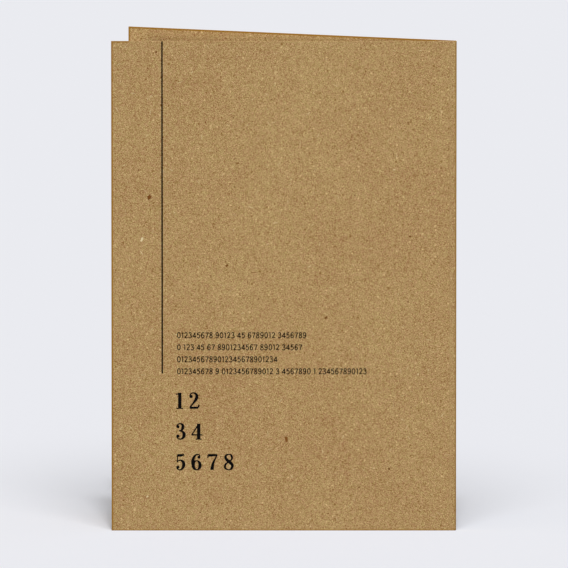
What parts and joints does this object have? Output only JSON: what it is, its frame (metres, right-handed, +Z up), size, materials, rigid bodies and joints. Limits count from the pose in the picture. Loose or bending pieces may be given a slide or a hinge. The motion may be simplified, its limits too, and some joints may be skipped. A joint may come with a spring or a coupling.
{
  "type": "wedding invitation",
  "caption": "Folded invitation card: one creased sheet of brown kraft card, standing on its bottom edges with its two leaves a little apart.",
  "frame": {"origin": "on the surface that the card stands on, under the middle of its bounding box", "axes": "+Z up along the height of the card, +X from the cut edges towards the fold, -Y the way that the outer face of the back leaf looks"},
  "size_m": [0.1184, 0.0372, 0.17],
  "materials": {
    "kraft_card": "matt uncoated brown kraft, fine grain with light and dark fibre flecks",
    "black_print": "matt black ink, printed flat on the card"
  },
  "bodies": {
    "root": {"folded_card": "kraft_card"}
  },
  "joints": []
}
